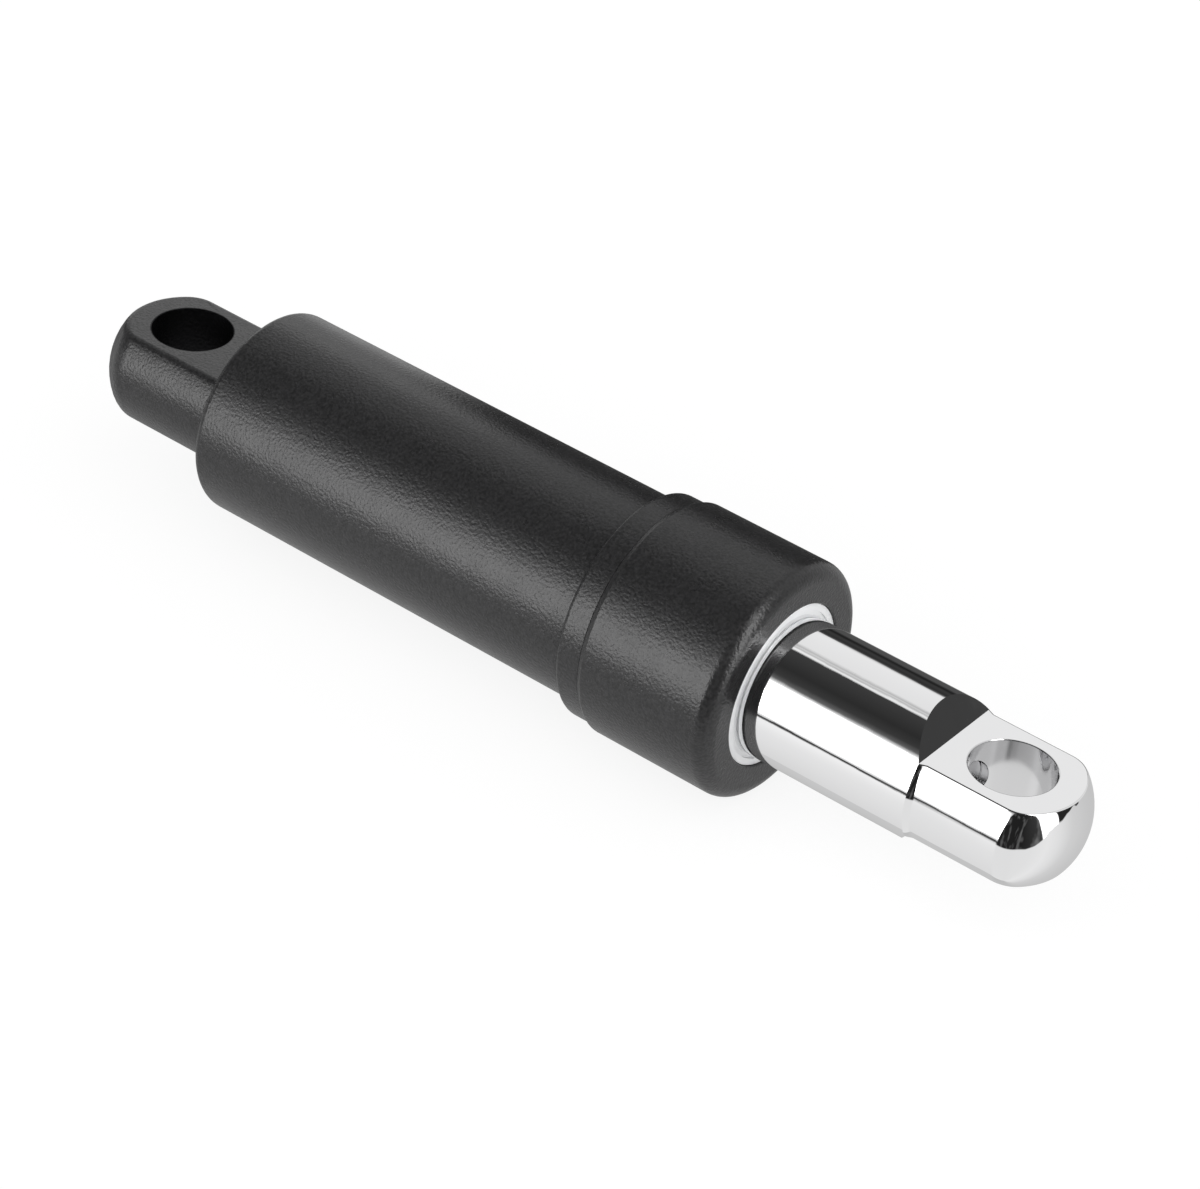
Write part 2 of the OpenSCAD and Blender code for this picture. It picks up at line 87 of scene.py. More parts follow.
def add_camera():
    cos_el = math.cos(CAMERA_ELEVATION)
    back = Vector((math.sin(CAMERA_AZIMUTH) * cos_el, -math.cos(CAMERA_AZIMUTH) * cos_el,
                   math.sin(CAMERA_ELEVATION)))
    level = Vector((math.cos(CAMERA_AZIMUTH), math.sin(CAMERA_AZIMUTH), 0))
    upright = back.cross(level)
    right = math.cos(CAMERA_ROLL) * level + math.sin(CAMERA_ROLL) * upright
    up = -math.sin(CAMERA_ROLL) * level + math.cos(CAMERA_ROLL) * upright
    place = Vector((CAMERA_TARGET_X, 0, 0)) + back * CAMERA_DISTANCE
    place -= right * CAMERA_OFFSET[0] + up * CAMERA_OFFSET[1]
    bpy.ops.object.camera_add()
    camera = bpy.context.object
    camera.name = "camera"
    turn = Matrix((right, up, back)).transposed().to_4x4()
    camera.matrix_world = Matrix.Translation(place * MM) @ turn
    camera.data.lens = CAMERA_LENS
    camera.data.sensor_width = CAMERA_SENSOR
    camera.data.clip_start, camera.data.clip_end = CAMERA_CLIP_M
    bpy.context.scene.camera = camera


add_camera()


# Node helpers
def node_adder(tree):
    """Returns a function that adds a node to this tree, sets its inputs and gives back the node."""
    def add(kind, inputs=None, **settings):
        node = tree.nodes.new(kind)
        for key, value in settings.items():
            setattr(node, key, value)
        for key, value in (inputs or {}).items():
            if isinstance(value, bpy.types.NodeSocket):
                tree.links.new(value, node.inputs[key])
            else:
                node.inputs[key].default_value = value
        return node
    return add


def bare_material(name):
    """A material without nodes, with the function that adds them."""
    material = bpy.data.materials.new(name)
    material.use_nodes = True
    material.node_tree.nodes.clear()
    return material, node_adder(material.node_tree)


def new_material(name):
    """A material with only an output and a Principled shader, which is returned with it."""
    material, add = bare_material(name)
    shader = add("ShaderNodeBsdfPrincipled")
    add("ShaderNodeOutputMaterial", {"Surface": shader.outputs["BSDF"]})
    return material, add, shader


def new_group(name, inputs, outputs):
    """A node group with named float inputs, each with its usual value, and named float outputs."""
    tree = bpy.data.node_groups.new(name, "ShaderNodeTree")
    for title, value in inputs:
        socket = tree.interface.new_socket(title, in_out="INPUT", socket_type="NodeSocketFloat")
        socket.default_value = value
    for title in outputs:
        tree.interface.new_socket(title, in_out="OUTPUT", socket_type="NodeSocketFloat")
    return tree, node_adder(tree)


def place_group(add, group, values):
    node = add("ShaderNodeGroup", node_tree=group)
    for key, value in values.items():
        node.inputs[key].default_value = value
    return node


def calc(add, operation, *values):
    return add("ShaderNodeMath", dict(enumerate(values)), operation=operation).outputs[0]


def vector_calc(add, operation, *values):
    return add("ShaderNodeVectorMath", dict(enumerate(values)), operation=operation).outputs[0]


def rescale(add, value, low, high, new_low=0.0, new_high=1.0, soft=False):
    """Turns low to high into new_low to new_high, and holds the ends."""
    ends = {"Value": value, "From Min": low, "From Max": high, "To Min": new_low, "To Max": new_high}
    node = add("ShaderNodeMapRange", ends, interpolation_type="SMOOTHSTEP" if soft else "LINEAR")
    return node.outputs["Result"]


def pick_between(add, mask, low, high):
    return add("ShaderNodeMix", {0: mask, 2: low, 3: high}, data_type="FLOAT").outputs[0]


def look_up(add, value, rows):
    """Reads a height off the line through these (place, height) rows."""
    first, last = rows[0][0], rows[-1][0]
    lowest, highest = min(row[1] for row in rows), max(row[1] for row in rows)
    ramp = add("ShaderNodeValToRGB", {"Fac": rescale(add, value, first, last)})
    stops = ramp.color_ramp.elements
    while len(stops) < len(rows):
        stops.new(1.0)
    for stop, (place, height) in zip(stops, rows):
        grey = (height - lowest) / (highest - lowest)
        stop.position = (place - first) / (last - first)
        stop.color = (grey, grey, grey, 1)
    return rescale(add, ramp.outputs["Color"], 0, 1, lowest, highest)


# Effects that several finishes share
def make_grain():
    """A sandy grain: fine grit and slow, cloudy unevenness, both round 0.5, by their sizes in metres."""
    tree, add = new_group("grain", [("Grit size", 0.0003), ("Cloud size", 0.004)], ["Grit", "Cloud"])
    given = add("NodeGroupInput")
    at = add("ShaderNodeTexCoord").outputs["Object"]
    per_grit = calc(add, "DIVIDE", 1.0, given.outputs["Grit size"])
    per_cloud = calc(add, "DIVIDE", 1.0, given.outputs["Cloud size"])
    grit = add("ShaderNodeTexNoise", {"Vector": at, "Scale": per_grit, "Detail": 1.0, "Roughness": 0.5})
    cloud = add("ShaderNodeTexNoise", {"Vector": at, "Scale": per_cloud, "Detail": 2.0, "Roughness": 0.5})
    add("NodeGroupOutput", {"Grit": grit.outputs["Fac"], "Cloud": cloud.outputs["Fac"]})
    return tree


def make_turning():
    """Fine lines round the shock's own axis, as a lathe or a grinding wheel leaves them, by their pitch in
    metres."""
    tree, add = new_group("turning", [("Pitch", 0.0002)], ["Lines"])
    given = add("NodeGroupInput")
    at = add("ShaderNodeTexCoord").outputs["Object"]
    parts = add("ShaderNodeSeparateXYZ", {0: at})
    flat = add("ShaderNodeCombineXYZ", {"Y": parts.outputs["Y"], "Z": parts.outputs["Z"]})
    radius = add("ShaderNodeVectorMath", {0: flat.outputs[0]}, operation="LENGTH")
    line = add("ShaderNodeCombineXYZ", {"X": parts.outputs["X"], "Y": radius.outputs["Value"]})
    per_line = calc(add, "DIVIDE", 1.0, given.outputs["Pitch"])
    noise = add("ShaderNodeTexNoise", {"Vector": line.outputs[0], "Scale": per_line, "Detail": 2.0})
    add("NodeGroupOutput", {"Lines": noise.outputs["Fac"]})
    return tree


GRAIN = make_grain()
TURNING = make_turning()

# Where most of the noise's values lie
NOISE_LOW, NOISE_HIGH = 0.3, 0.7


def span(add, noise, low=0.0, high=1.0):
    """Spreads a noise over low to high."""
    return rescale(add, noise, NOISE_LOW, NOISE_HIGH, low, high)


def bump(add, height, depth, normal=None):
    """The normal of a surface whose height runs over this depth in metres."""
    inputs = {"Height": height, "Distance": depth, "Strength": 1.0}
    if normal:
        inputs["Normal"] = normal
    return add("ShaderNodeBump", inputs).outputs["Normal"]


def blend_colours(add, mask, low, high):
    """Mixes two colours, each an (r, g, b) or a socket, by a mask."""
    ends = [(*end, 1) if isinstance(end, tuple) else end for end in (low, high)]
    return add("ShaderNodeMix", {0: mask, 6: ends[0], 7: ends[1]}, data_type="RGBA").outputs[2]


# The painted shade in an eye bore fades out between these two distances outside its wall
BORE_SHADE_FULL, BORE_SHADE_END = 0.12, 0.2


def inside_bore(add, x, bore_r):
    """1 on the wall of the eye bore at this place along the shock, and 0 elsewhere: it marks where the
    finishes paint shade into the bore.
    """
    at = add("ShaderNodeTexCoord").outputs["Object"]
    from_eye = vector_calc(add, "SUBTRACT", at, (x * MM, 0, 0))
    across = vector_calc(add, "MULTIPLY", from_eye, (1, 1, 0))
    from_pin = add("ShaderNodeVectorMath", {0: across}, operation="LENGTH").outputs["Value"]
    return rescale(add, from_pin, (bore_r + BORE_SHADE_END) * MM, (bore_r + BORE_SHADE_FULL) * MM)


# Finishes: sizes, pitches and depths are in metres
def make_black_paint(dark, light, rough, bore_shade_colour, bore_rough, grit, cloud, depth, gloss):
    """Sandy black powder coat. On the base eye's bore wall it turns to a near-black, rougher metal, which is
    painted shade in the bore.
    """
    material, add, shader = new_material("black_paint")
    in_bore = inside_bore(add, 0, BASE["bore_r"])
    grain = place_group(add, GRAIN, {"Grit size": grit, "Cloud size": cloud})
    coat = blend_colours(add, span(add, grain.outputs["Grit"]), dark, light)
    links = material.node_tree.links
    # in the bore the coat gives way to a near-black metal: painted shade
    links.new(blend_colours(add, in_bore, coat, bore_shade_colour), shader.inputs["Base Color"])
    links.new(pick_between(add, in_bore, span(add, grain.outputs["Cloud"], *rough), bore_rough),
              shader.inputs["Roughness"])
    links.new(in_bore, shader.inputs["Metallic"])
    links.new(bump(add, grain.outputs["Grit"], depth), shader.inputs["Normal"])
    shader.inputs["Specular IOR Level"].default_value = gloss
    return material


def make_chrome(dark, light, rough, bore_shade_colour, bore_rough, grit, cloud, depth, pitch, line_depth):
    """Polished chrome with fine turning lines and faint waves, darker and rougher in the rod eye's bore,
    which is painted shade there.
    """
    material, add, shader = new_material("chrome")
    grain = place_group(add, GRAIN, {"Grit size": grit, "Cloud size": cloud})
    turning = place_group(add, TURNING, {"Pitch": pitch})
    in_bore = inside_bore(add, EYE_TO_EYE, EYE["bore_r"])
    plating = blend_colours(add, grain.outputs["Cloud"], dark, light)
    links = material.node_tree.links
    # in the bore the plating turns darker: painted shade
    links.new(blend_colours(add, in_bore, plating, bore_shade_colour), shader.inputs["Base Color"])
    links.new(pick_between(add, in_bore, span(add, grain.outputs["Cloud"], *rough), bore_rough),
              shader.inputs["Roughness"])
    lines = bump(add, turning.outputs["Lines"], line_depth)
    links.new(bump(add, grain.outputs["Cloud"], depth, normal=lines), shader.inputs["Normal"])
    shader.inputs["Metallic"].default_value = 1.0
    return material


def make_turned_metal(name, dark, light, rough, pitch, line_depth=0.000005):
    """Bare metal with the lines of the lathe in its colour, its gloss and its surface."""
    material, add, shader = new_material(name)
    lines = place_group(add, TURNING, {"Pitch": pitch}).outputs["Lines"]
    links = material.node_tree.links
    links.new(blend_colours(add, span(add, lines), dark, light), shader.inputs["Base Color"])
    links.new(span(add, lines, *rough), shader.inputs["Roughness"])
    links.new(bump(add, lines, line_depth), shader.inputs["Normal"])
    shader.inputs["Metallic"].default_value = 1.0
    return material


def make_moulded(name, dark, light, rough, grit, depth, grits_per_cloud=12):
    """Moulded plastic or rubber, with the mould's fine grain and a slow change of colour."""
    material, add, shader = new_material(name)
    grain = place_group(add, GRAIN, {"Grit size": grit, "Cloud size": grit * grits_per_cloud})
    links = material.node_tree.links
    links.new(blend_colours(add, span(add, grain.outputs["Cloud"]), dark, light), shader.inputs["Base Color"])
    links.new(span(add, grain.outputs["Grit"], *rough), shader.inputs["Roughness"])
    links.new(bump(add, grain.outputs["Grit"], depth), shader.inputs["Normal"])
    return material


FINISH = {
    # the bore colours below paint shade into the eye bores
    "black_paint": make_black_paint(
        dark=(0.013, 0.013, 0.0133), light=(0.027, 0.0266, 0.0275), rough=(0.27, 0.31),
        bore_shade_colour=(0.016, 0.016, 0.017), bore_rough=0.45, grit=0.00036, cloud=0.003, depth=0.00006,
        gloss=0.38),
    "chrome": make_chrome(
        dark=(0.86, 0.86, 0.865), light=(0.88, 0.88, 0.885), rough=(0.012, 0.028),
        bore_shade_colour=(0.73, 0.73, 0.735), bore_rough=0.12, grit=0.0008, cloud=0.006, depth=0.00002,
        pitch=0.00015, line_depth=0.0000004),
    "steel": make_turned_metal(
        "steel", dark=(0.5, 0.5, 0.51), light=(0.6, 0.6, 0.61), rough=(0.26, 0.38), pitch=0.00025),
    "alloy": make_turned_metal(
        "alloy", dark=(0.6, 0.61, 0.63), light=(0.7, 0.71, 0.73), rough=(0.26, 0.4), pitch=0.0003),
    "bronze": make_turned_metal(
        "bronze", dark=(0.42, 0.29, 0.13), light=(0.56, 0.4, 0.2), rough=(0.3, 0.45), pitch=0.0003),
    "white_plastic": make_moulded(
        "white_plastic", dark=(0.86, 0.87, 0.88), light=(0.89, 0.895, 0.9), rough=(0.3, 0.4),
        grit=0.0005, depth=0.000004),
    "rubber": make_moulded(
        "rubber", dark=(0.014, 0.014, 0.014), light=(0.026, 0.026, 0.026), rough=(0.6, 0.8),
        grit=0.0004, depth=0.00002),
}


# Modelling helpers
def clear_selection():
    if bpy.context.object and bpy.context.object.mode != "OBJECT":
        bpy.ops.object.mode_set(mode="OBJECT")
    bpy.ops.object.select_all(action="DESELECT")


def work_on(piece):
    clear_selection()
    piece.select_set(True)
    bpy.context.view_layer.objects.active = piece


def apply_place(piece):
    work_on(piece)
    bpy.ops.object.transform_apply(location=True, rotation=True, scale=True)


def edit(piece, kind="EDGE"):
    work_on(piece)
    bpy.ops.object.mode_set(mode="EDIT")
    bpy.ops.mesh.select_mode(type=kind)
    bpy.ops.mesh.select_all(action="DESELECT")


def leave_edit():
    bpy.ops.object.mode_set(mode="OBJECT")


def pick_edges(piece, test):
    """Selects the edges, in edit mode, that pass the test."""
    mesh = bmesh.from_edit_mesh(piece.data)
    for edge in mesh.edges:
        edge.select_set(bool(test(edge)))
    mesh.select_flush_mode()
    bmesh.update_edit_mesh(piece.data)


def radius_of(co):
    return math.hypot(co.y, co.z)


def on_ring(x, r, slack=0.02):
    """The test for edges of a ring round X at this place and radius."""
    def test(edge):
        return all(abs(v.co.x / MM - x) < slack and abs(radius_of(v.co) / MM - r) < slack for v in edge.verts)
    return test


def tidy_mesh(piece, merge=0.0005):
    """Merges vertices that lie this near each other, and turns all faces outwards."""
    edit(piece, "VERT")
    bpy.ops.mesh.select_all(action="SELECT")
    bpy.ops.mesh.remove_doubles(threshold=merge * MM)
    bpy.ops.mesh.normals_make_consistent(inside=False)
    leave_edit()


def turned(name, outline, sides=128, half_step=False, closed=True):
    """Turns an outline of (x, radius) corners round X: a ring of vertices, extruded from corner to corner.
    A closed outline comes back to its first corner, and an open one is capped at both ends."""
    x, r = outline[0]
    clear_selection()
    bpy.ops.mesh.primitive_circle_add(vertices=sides, radius=r * MM, location=(x * MM, 0, 0),
                                      rotation=(0, math.pi / 2, 0))
    piece = bpy.context.object
    piece.name = name
    piece.data.name = name
    if half_step:
        piece.rotation_euler.rotate_axis("Z", math.pi / sides)
    apply_place(piece)
    edit(piece)
    bpy.ops.mesh.select_all(action="SELECT")
    if not closed:
        bpy.ops.mesh.edge_face_add()
    for next_x, next_r in outline[1:]:
        bpy.ops.mesh.extrude_edges_move(TRANSFORM_OT_translate={"value": ((next_x - x) * MM, 0, 0)})
        if next_r != r:
            share = next_r / r
            bpy.ops.transform.resize(value=(1, share, share), center_override=(next_x * MM, 0, 0))
        x, r = next_x, next_r
    if not closed:
        bpy.ops.mesh.edge_face_add()
    leave_edit()
    tidy_mesh(piece)
    return piece


def bevel_edges(piece, test, width, segments):
    edit(piece)
    pick_edges(piece, test)
    bpy.ops.mesh.bevel(offset=width * MM, offset_type="OFFSET", segments=segments, profile=0.5,
                       affect="EDGES", clamp_overlap=True)
    leave_edit()


def bevel_ring(piece, x, r, width, segments):
    bevel_edges(piece, on_ring(x, r), width, segments)


def carve(piece, tool, how="DIFFERENCE"):
    """Cuts a tool out of a piece, or joins it to it, and removes the tool."""
    work_on(piece)
    modifier = piece.modifiers.new("carve", "BOOLEAN")
    modifier.operation = how
    modifier.solver = "EXACT"
    modifier.object = tool
    bpy.ops.object.modifier_apply(modifier=modifier.name)
    bpy.data.objects.remove(tool)


def round_tool(radius, start, end, sides):
    """A round tool between two points."""
    a, b = Vector(start) * MM, Vector(end) * MM
    clear_selection()
    bpy.ops.mesh.primitive_cylinder_add(vertices=sides, radius=radius * MM, depth=(b - a).length,
                                        location=(a + b) / 2, end_fill_type="NGON",
                                        rotation=(b - a).to_track_quat("Z", "Y").to_euler())
    tool = bpy.context.object
    apply_place(tool)
    return tool


def smooth(piece, angle=24):
    """Shades a piece smooth up to this angle between faces, and keeps its large faces flat."""
    work_on(piece)
    bpy.ops.object.shade_smooth_by_angle(angle=math.radians(angle))
    modifier = piece.modifiers.new("flat faces", "WEIGHTED_NORMAL")
    modifier.keep_sharp = True
    bpy.ops.object.modifier_apply(modifier=modifier.name)


def finish_piece(piece, node, finish):
    """Puts a finished piece in its CAD node's stead, with that node's body and finish."""
    smooth(piece)
    piece.data.materials.clear()
    piece.data.materials.append(FINISH[finish])
    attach(piece, frame["nodes"][node]["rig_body"])
    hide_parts(node)


# Eyes
def nose_outline(z, side_r, nose_r, bend_r, bend_steps=10, nose_steps=40):
    """The (x, y) points of an eye's outline at height z: from the side's end, through the bend and round the
    ball nose, to the other side's end."""
    half_y = math.sqrt(side_r ** 2 - z * z)
    level_r = math.sqrt(nose_r ** 2 - z * z)
    bend_x = math.sqrt((level_r - bend_r) ** 2 - (half_y - bend_r) ** 2)
    bend_y = half_y - bend_r
    meet = math.atan2(bend_y, bend_x)
    bend = [math.pi / 2 + (meet - math.pi / 2) * i / bend_steps for i in range(bend_steps)]
    first = [(bend_x + bend_r * math.cos(a), -bend_y - bend_r * math.sin(a)) for a in bend]
    turns = [meet * (2 * i / nose_steps - 1) for i in range(nose_steps + 1)]
    nose = [(level_r * math.cos(a), level_r * math.sin(a)) for a in turns]
    return first + nose + [(x, -y) for x, y in reversed(first)]


def eye_shell(name, eye, neck, rows):
    """A closed eye blank whose bore is at the origin and whose ball nose points to +X. A grid is wrapped
    round its side, and its flats and root are closed. neck lists (x, radius) from the root."""
    shape = (eye["side_r"], eye["nose_r"], eye["bend_r"])
    nose_steps = len(nose_outline(0, *shape)) - 1
    columns = 2 * len(neck) + nose_steps
    clear_selection()
    bpy.ops.mesh.primitive_grid_add(x_subdivisions=columns, y_subdivisions=rows, size=1)
    piece = bpy.context.object
    piece.name = name
    piece.data.name = name
    steepest = math.asin(eye["thick"] / 2 / eye["side_r"])
    for vertex in piece.data.vertices:
        i = round((vertex.co.x + 0.5) * columns)
        j = round((vertex.co.y + 0.5) * rows)
        z = eye["side_r"] * math.sin(steepest * (2 * j / rows - 1))
        if i < len(neck):
            x, r = neck[i]
            y = -math.sqrt(r * r - z * z)
        elif i > columns - len(neck):
            x, r = neck[columns - i]
            y = math.sqrt(r * r - z * z)
        else:
            x, y = nose_outline(z, *shape)[i - len(neck)]
        vertex.co = Vector((x, y, z)) * MM
    edit(piece)
    for side in (1, -1):
        flat_z = side * eye["thick"] / 2
        pick_edges(piece, lambda e: all(abs(v.co.z / MM - flat_z) < SAME for v in e.verts))
        bpy.ops.mesh.edge_face_add()
    root = neck[0][0]
    pick_edges(piece, lambda e: all(abs(v.co.x / MM - root) < SAME for v in e.verts))
    bpy.ops.mesh.edge_face_add()
    leave_edit()
    tidy_mesh(piece)
    return piece


def bore_through(piece, eye):
    """Cuts the pin's bore through an eye that still has it at the origin."""
    half = eye["thick"] / 2 + OVERRUN
    carve(piece, round_tool(eye["bore_r"], (0, 0, -half), (0, 0, half), sides=128))


def on_outline(edge, eye, least=15):
    """True for an edge of a flat or of a bore's rim, where the faces meet at this many degrees or more."""
    if len(edge.link_faces) != 2 or edge.calc_face_angle(0) < math.radians(least):
        return False
    return all(abs(abs(v.co.z) / MM - eye["thick"] / 2) < SAME for v in edge.verts)


def on_bore_rim(edge, eye, slack=0.3):
    return all(math.hypot(v.co.x, v.co.y) < (eye["bore_r"] + slack) * MM for v in edge.verts)


def seal_groove(part):
    """Where an O-ring's groove starts and ends along the shock, and the radius of its floor."""
    before, after = part["groove_x"] - part["groove_half"], part["groove_x"] + part["groove_half"]
    return before, after, part["groove_r"]


# Barrel
BARREL = dict(x0=12.7, x1=83.4, r=13.5, bore_r=11.0, base_edge_r=1.2, front_edge_r=0.4, bore_edge_r=0.2)


def make_barrel():
    b = BARREL
    piece = turned("barrel_tube", [(b["x0"], b["bore_r"]), (b["x0"], b["r"]), (b["x1"], b["r"]),
                                   (b["x1"], b["bore_r"]), (b["x0"], b["bore_r"])])
    bevel_ring(piece, b["x0"], b["r"], b["base_edge_r"], segments=8)
    bevel_ring(piece, b["x1"], b["r"], b["front_edge_r"], segments=4)
    bevel_ring(piece, b["x0"], b["bore_r"], b["bore_edge_r"], segments=2)
    finish_piece(piece, "barrel", "black_paint")


# Base eye, in one with the plug that closes the barrel
def make_base_eye():
    b = BASE
    before, after, groove_r = seal_groove(b)
    plug = turned("plug", [(b["recess_x"], b["recess_r"]), (b["seat_x"], b["recess_r"]),
                           (b["seat_x"], b["seat_r"]), (b["plug_x1"], b["seat_r"]),
                           (b["plug_x1"], b["plug_r"]), (after, b["plug_r"]), (after, groove_r),
                           (before, groove_r), (before, b["plug_r"]), (BARREL["x0"], b["plug_r"])],
                  closed=False)
    bevel_ring(plug, b["plug_x1"], b["plug_r"], b["plug_edge_r"], segments=3)
    piece = eye_shell("base_eye_body", b, [(-BARREL["x0"] - OVERRUN, b["side_r"])], rows=12)
    work_on(piece)
    piece.rotation_euler = (0, 0, math.pi)
    apply_place(piece)
    bore_through(piece, b)
    bevel_edges(piece, lambda e: on_outline(e, b) and on_bore_rim(e, b), b["rim_r"], segments=3)

    def outside_barrel(edge):
        """True for an edge that starts outside the barrel and ends outside it or just inside."""
        places = [v.co.x for v in edge.verts]
        return min(places) < BARREL["x0"] * MM and max(places) < (BARREL["x0"] + b["edge_reach"]) * MM

    bevel_edges(piece, lambda e: on_outline(e, b) and not on_bore_rim(e, b) and outside_barrel(e),
                b["edge_r"], segments=6)
    carve(piece, plug, "UNION")
    tidy_mesh(piece)
    finish_piece(piece, "base_eye", "black_paint")


# Lock ring, collar and dust wiper. The collar's rear edge has a narrow slope, which shows over the lock ring
# as a line of light. The wiper's face has a shallow step round the rod.
LOCK_RING = dict(x0=71.4, x1=74.84, r=14.8, bore_r=13.55, rear_edge_r=0.6, front_edge_r=0.08)
COLLAR = dict(x0=74.86, x1=93.9, r=15.3, bore_r=13.55, rear_r=14.78, slope_x0=74.9, slope_x1=75.6,
              slope_r=14.86, slope_edge_r=0.12, nose_edge_r=2.1, floor_x=90.4, mouth_r=10.55,
              mouth_edge_r=0.2)
WIPER = dict(x0=89.2, x1=93.65, r=10.5, edge_r=0.12, flange_x=90.4, flange_r=11.6, bore_r=9.004, step_x=93.4,
             step_r=9.6)


def make_lock_ring():
    r = LOCK_RING
    piece = turned("lock_ring_band", [(r["x0"], r["bore_r"]), (r["x0"], r["r"]), (r["x1"], r["r"]),
                                      (r["x1"], r["bore_r"]), (r["x0"], r["bore_r"])])
    bevel_ring(piece, r["x0"], r["r"], r["rear_edge_r"], segments=6)
    bevel_ring(piece, r["x1"], r["r"], r["front_edge_r"], segments=2)
    finish_piece(piece, "lock_ring", "black_paint")


def make_collar():
    c = COLLAR
    piece = turned("collar_cap", [(c["x0"], c["bore_r"]), (c["x0"], c["rear_r"]),
                                  (c["slope_x0"], c["slope_r"]), (c["slope_x1"], c["r"]), (c["x1"], c["r"]),
                                  (c["x1"], c["mouth_r"]), (c["floor_x"], c["mouth_r"]),
                                  (c["floor_x"], c["bore_r"]), (c["x0"], c["bore_r"])])
    bevel_ring(piece, c["slope_x1"], c["r"], c["slope_edge_r"], segments=3)
    bevel_ring(piece, c["x1"], c["r"], c["nose_edge_r"], segments=10)
    bevel_ring(piece, c["x1"], c["mouth_r"], c["mouth_edge_r"], segments=3)
    finish_piece(piece, "collar", "black_paint")


def make_dust_wiper():
    w = WIPER
    piece = turned("dust_wiper_ring", [(w["x0"], w["bore_r"]), (w["x0"], w["flange_r"]),
                                       (w["flange_x"], w["flange_r"]), (w["flange_x"], w["r"]),
                                       (w["x1"], w["r"]), (w["x1"], w["step_r"]), (w["step_x"], w["step_r"]),
                                       (w["step_x"], w["bore_r"]), (w["x0"], w["bore_r"])])
    bevel_ring(piece, w["x1"], w["r"], w["edge_r"], segments=3)
    finish_piece(piece, "dust_wiper", "white_plastic")


# Rod and rod eye
ROD = dict(x0=54.0, x1=117.0, r=9.0, bore_r=7.0, bore_x1=108.5, gas_r=1.5, spigot_x=109.5, spigot_r=4.55,
           chamfer=0.5, bevel_len=2.5)


def make_rod():
    r = ROD
    piece = turned("rod_bar", [(r["x0"], r["bore_r"]), (r["x0"], r["r"] - r["chamfer"]),
                               (r["x0"] + r["chamfer"], r["r"]), (r["x1"], r["r"]), (r["x1"], r["spigot_r"]),
                               (r["spigot_x"], r["spigot_r"]), (r["spigot_x"], r["gas_r"]),
                               (r["bore_x1"], r["gas_r"]), (r["bore_x1"], r["bore_r"]),
                               (r["x0"], r["bore_r"])], half_step=True)
    flat_z = EYE["thick"] / 2
    slope = Vector((r["r"] - flat_z, 0, r["bevel_len"])).normalized()
    for side in (1, -1):
        edit(piece)
        bpy.ops.mesh.select_all(action="SELECT")
        bpy.ops.mesh.bisect(plane_co=Vector((r["x1"], 0, side * flat_z)) * MM,
                            plane_no=(slope.x, 0, side * slope.z), use_fill=True, clear_outer=True)
        leave_edit()
    tidy_mesh(piece)
    finish_piece(piece, "rod", "chrome")


def make_rod_eye():
    e = EYE
    before, after, groove_r = seal_groove(e)
    spigot = turned("spigot", [(e["spigot_x"], e["spigot_r"]), (before, e["spigot_r"]), (before, groove_r),
                               (after, groove_r), (after, e["spigot_r"]),
                               (ROD["x1"] + OVERRUN, e["spigot_r"])], closed=False)
    root = ROD["x1"] - EYE_TO_EYE
    piece = eye_shell("rod_eye_body", e, [(root, ROD["r"]), (root + e["cone"], e["side_r"])], rows=16)
    bore_through(piece, e)
    past_root = (root + e["root_slack"]) * MM
    bevel_edges(piece, lambda x: on_outline(x, e) and max(v.co.x for v in x.verts) > past_root,
                e["edge_r"], segments=3)
    piece.location = (EYE_TO_EYE * MM, 0, 0)
    apply_place(piece)
    carve(piece, spigot, "UNION")
    carve(piece, round_tool(e["gas_r"], (e["spigot_x"] - OVERRUN, 0, 0), (EYE_TO_EYE, 0, 0), sides=48))
    carve(piece, round_tool(e["fill_r"], (e["fill_x"], 0, 0), (EYE_TO_EYE, 0, 0), sides=64))
    tidy_mesh(piece)
    finish_piece(piece, "rod_eye", "chrome")


FILL_SCREW = dict(x0=115.5, x1=119.7, r=2.95, rear_edge_r=0.2, front_edge_r=0.25, socket_r=1.443,
                  socket_depth=0.7)


def make_fill_screw():
    s = FILL_SCREW
    piece = turned("fill_screw_plug", [(s["x0"], s["r"]), (s["x1"], s["r"])], sides=64, closed=False)
    bevel_ring(piece, s["x1"], s["r"], s["front_edge_r"], segments=3)
    bevel_ring(piece, s["x0"], s["r"], s["rear_edge_r"], segments=2)
    carve(piece, round_tool(s["socket_r"], (s["x1"] - s["socket_depth"], 0, 0), (s["x1"] + OVERRUN, 0, 0),
                            sides=6))
    finish_piece(piece, "fill_screw", "steel")


for make in (make_barrel, make_base_eye, make_lock_ring, make_collar, make_dust_wiper, make_rod, make_rod_eye,
             make_fill_screw):
    make()


# CAD nodes that keep their shape
def dress_cad_nodes():
    for row in frame["record"]["subparts"]:
        node = frame["nodes"][row["node"]]
        if not node.hide_render:
            if not node.data.materials:
                node.data.materials.append(None)
            node.material_slots[0].link = "DATA"
            node.material_slots[0].material = FINISH[row["material_slot"]]


dress_cad_nodes()


# Floor: for the camera it is nearly white by its own glow and only a little grey, so that the shadow on it
# stays faint, and for all other light it is plain and pale
FLOOR = dict(z=-15.32, radius=6000, grey=0.9, grey_seen=0.16, glow_seen=0.87)


